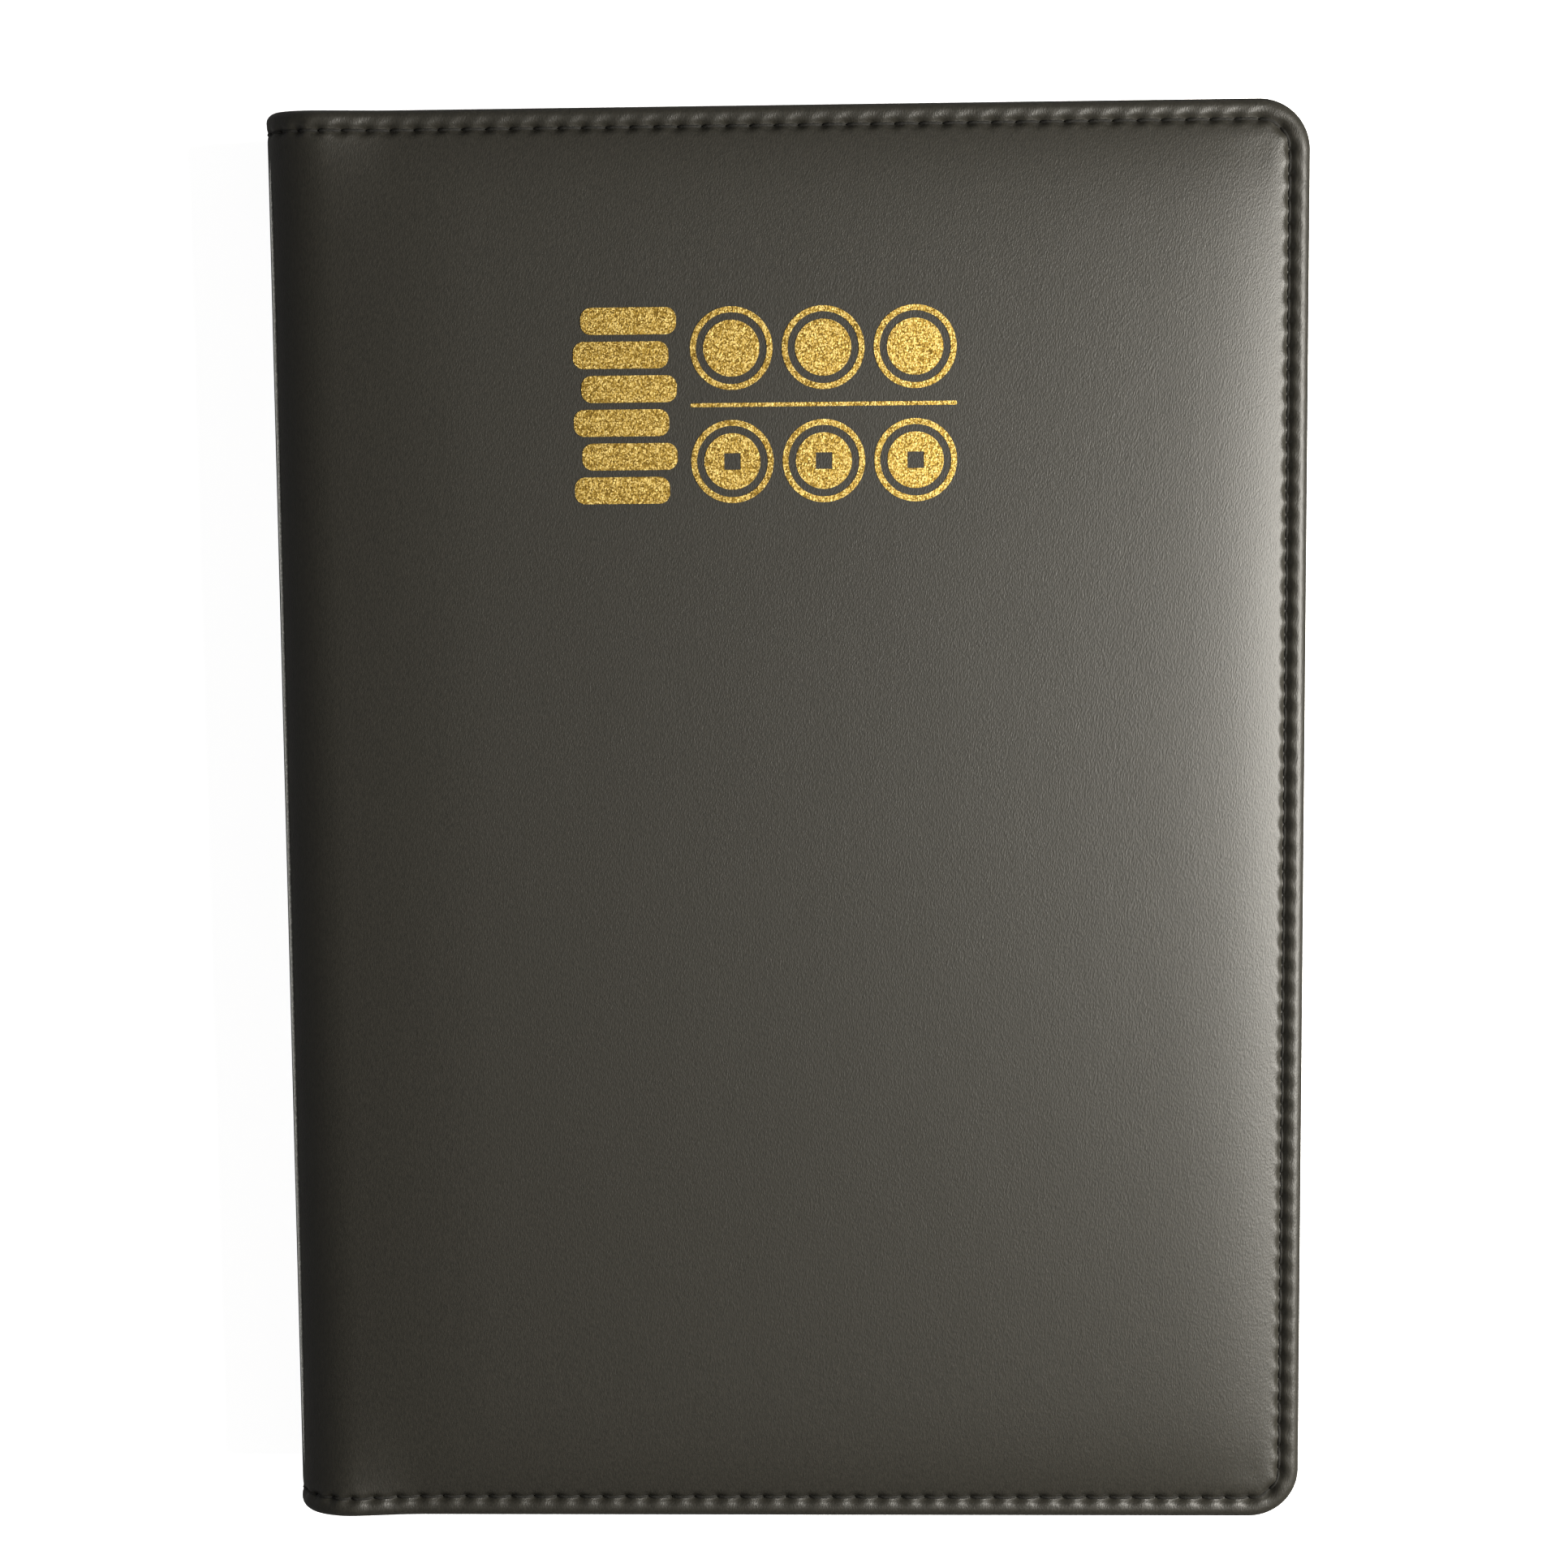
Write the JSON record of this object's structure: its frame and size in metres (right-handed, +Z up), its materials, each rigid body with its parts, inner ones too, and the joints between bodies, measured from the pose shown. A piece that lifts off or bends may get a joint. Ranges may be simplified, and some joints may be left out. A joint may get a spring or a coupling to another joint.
{
  "type": "coin album",
  "caption": "Padded, stitched ring album in black leatherette that holds punched leaves of clear coin pockets.",
  "frame": {"origin": "middle of the footprint, on the surface that the closed album lies on", "axes": "+X from the spine to the fore edge, +Y to the head edge, +Z up through the front cover"},
  "size_m": [0.185, 0.254, 0.0393],
  "materials": {
    "leatherette": "fine grained black leatherette with a soft sheen",
    "foam": "grey open cell foam",
    "greyboard": "dense grey paperboard",
    "lining": "black embossed vinyl sheet",
    "thread": "twisted black polyester thread",
    "gold_foil": "hot stamped gold foil",
    "nickelled_steel": "bright nickel plated steel",
    "clear_film": "clear soft plastic film",
    "weld": "fine ribbed weld in clear film"
  },
  "bodies": {
    "back_cover": {"back_leatherette": "leatherette", "back_foam": "foam", "back_board": "greyboard", "back_lining": "lining", "back_stitching": "thread"},
    "spine": {"spine_leatherette": "leatherette", "spine_foam": "foam", "spine_board": "greyboard", "spine_lining": "lining", "spine_stitching": "thread", "ring_housing": "nickelled_steel", "lever_pins": "nickelled_steel", "housing_rivets": "nickelled_steel", "rivet_washers": "nickelled_steel"},
    "front_cover": {"front_leatherette": "leatherette", "front_foam": "foam", "front_board": "greyboard", "front_lining": "lining", "front_stitching": "thread", "front_foil_emblem": "gold_foil"},
    "front_rings": {"front_hinge_plate": "nickelled_steel", "front_ring_halves": "nickelled_steel"},
    "back_rings": {"back_hinge_plate": "nickelled_steel", "back_ring_halves": "nickelled_steel"},
    "top_lever": {"top_lever": "nickelled_steel"},
    "bottom_lever": {"bottom_lever": "nickelled_steel"},
    "leaf_01": {"leaf_01_sheet": "clear_film", "leaf_01_pockets": "clear_film", "leaf_01_welds": "weld"},
    "leaf_02": {"leaf_02_sheet": "clear_film", "leaf_02_pockets": "clear_film", "leaf_02_welds": "weld"},
    "leaf_03": {"leaf_03_sheet": "clear_film", "leaf_03_pockets": "clear_film", "leaf_03_welds": "weld"},
    "leaf_04": {"leaf_04_sheet": "clear_film", "leaf_04_pockets": "clear_film", "leaf_04_welds": "weld"},
    "leaf_05": {"leaf_05_sheet": "clear_film", "leaf_05_pockets": "clear_film", "leaf_05_welds": "weld"},
    "leaf_06": {"leaf_06_sheet": "clear_film", "leaf_06_pockets": "clear_film", "leaf_06_welds": "weld"},
    "leaf_07": {"leaf_07_sheet": "clear_film", "leaf_07_pockets": "clear_film", "leaf_07_welds": "weld"},
    "leaf_08": {"leaf_08_sheet": "clear_film", "leaf_08_pockets": "clear_film", "leaf_08_welds": "weld"},
    "leaf_09": {"leaf_09_sheet": "clear_film", "leaf_09_pockets": "clear_film", "leaf_09_welds": "weld"},
    "leaf_10": {"leaf_10_sheet": "clear_film", "leaf_10_pockets": "clear_film", "leaf_10_welds": "weld"}
  },
  "joints": [
    {"name": "spine_hinge", "type": "hinge", "parent": "back_cover", "child": "spine", "pos_m": [-0.08883, 0, 0.00367], "axis": [0, -1, 0], "range_deg": [0, 90]},
    {"name": "front_hinge", "type": "hinge", "parent": "spine", "child": "front_cover", "pos_m": [-0.08883, 0, 0.03553], "axis": [0, -1, 0], "range_deg": [0, 90]},
    {"name": "front_rings", "type": "hinge", "parent": "spine", "child": "front_rings", "pos_m": [-0.0867, 0, 0.02584], "axis": [0, -1, 0], "range_deg": [0, 8]},
    {"name": "back_rings", "type": "hinge", "parent": "spine", "child": "back_rings", "pos_m": [-0.0867, 0, 0.01336], "axis": [0, 1, 0], "range_deg": [0, 8]},
    {"name": "top_lever", "type": "hinge", "parent": "spine", "child": "top_lever", "pos_m": [-0.0863, 0.1075, 0.0196], "axis": [0, 0, 1], "range_deg": [0, 16]},
    {"name": "bottom_lever", "type": "hinge", "parent": "spine", "child": "bottom_lever", "pos_m": [-0.0863, -0.1075, 0.0196], "axis": [0, 0, -1], "range_deg": [0, 16]},
    {"name": "leaf_01_turn", "type": "hinge", "parent": "spine", "child": "leaf_01", "pos_m": [-0.07729, 0, 0.0196], "axis": [0, -1, 0], "range_deg": [0, 90]},
    {"name": "leaf_02_turn", "type": "hinge", "parent": "spine", "child": "leaf_02", "pos_m": [-0.07729, 0, 0.0196], "axis": [0, -1, 0], "range_deg": [0, 90]},
    {"name": "leaf_03_turn", "type": "hinge", "parent": "spine", "child": "leaf_03", "pos_m": [-0.07729, 0, 0.0196], "axis": [0, -1, 0], "range_deg": [0, 90]},
    {"name": "leaf_04_turn", "type": "hinge", "parent": "spine", "child": "leaf_04", "pos_m": [-0.07729, 0, 0.0196], "axis": [0, -1, 0], "range_deg": [-90, 0]},
    {"name": "leaf_05_turn", "type": "hinge", "parent": "spine", "child": "leaf_05", "pos_m": [-0.07729, 0, 0.0196], "axis": [0, -1, 0], "range_deg": [-90, 0]},
    {"name": "leaf_06_turn", "type": "hinge", "parent": "spine", "child": "leaf_06", "pos_m": [-0.07729, 0, 0.0196], "axis": [0, -1, 0], "range_deg": [-90, 0]},
    {"name": "leaf_07_turn", "type": "hinge", "parent": "spine", "child": "leaf_07", "pos_m": [-0.07729, 0, 0.0196], "axis": [0, -1, 0], "range_deg": [-90, 0]},
    {"name": "leaf_08_turn", "type": "hinge", "parent": "spine", "child": "leaf_08", "pos_m": [-0.07729, 0, 0.0196], "axis": [0, -1, 0], "range_deg": [-90, 0]},
    {"name": "leaf_09_turn", "type": "hinge", "parent": "spine", "child": "leaf_09", "pos_m": [-0.07729, 0, 0.0196], "axis": [0, -1, 0], "range_deg": [-90, 0]},
    {"name": "leaf_10_turn", "type": "hinge", "parent": "spine", "child": "leaf_10", "pos_m": [-0.07729, 0, 0.0196], "axis": [0, -1, 0], "range_deg": [-90, 0]}
  ],
  "couplings": [
    {"joint": "back_rings", "follows": "front_rings", "ratio": 1},
    {"joint": "top_lever", "follows": "front_rings", "ratio": 2},
    {"joint": "bottom_lever", "follows": "front_rings", "ratio": 2},
    {"joint": "leaf_01_turn", "follows": "front_hinge", "ratio": 0.96},
    {"joint": "leaf_02_turn", "follows": "front_hinge", "ratio": 0.93},
    {"joint": "leaf_03_turn", "follows": "front_hinge", "ratio": 0.9},
    {"joint": "leaf_04_turn", "follows": "spine_hinge", "ratio": -0.983},
    {"joint": "leaf_05_turn", "follows": "spine_hinge", "ratio": -0.983},
    {"joint": "leaf_06_turn", "follows": "spine_hinge", "ratio": -0.983},
    {"joint": "leaf_07_turn", "follows": "spine_hinge", "ratio": -0.983},
    {"joint": "leaf_08_turn", "follows": "spine_hinge", "ratio": -0.983},
    {"joint": "leaf_09_turn", "follows": "spine_hinge", "ratio": -0.983},
    {"joint": "leaf_10_turn", "follows": "spine_hinge", "ratio": -0.983}
  ]
}
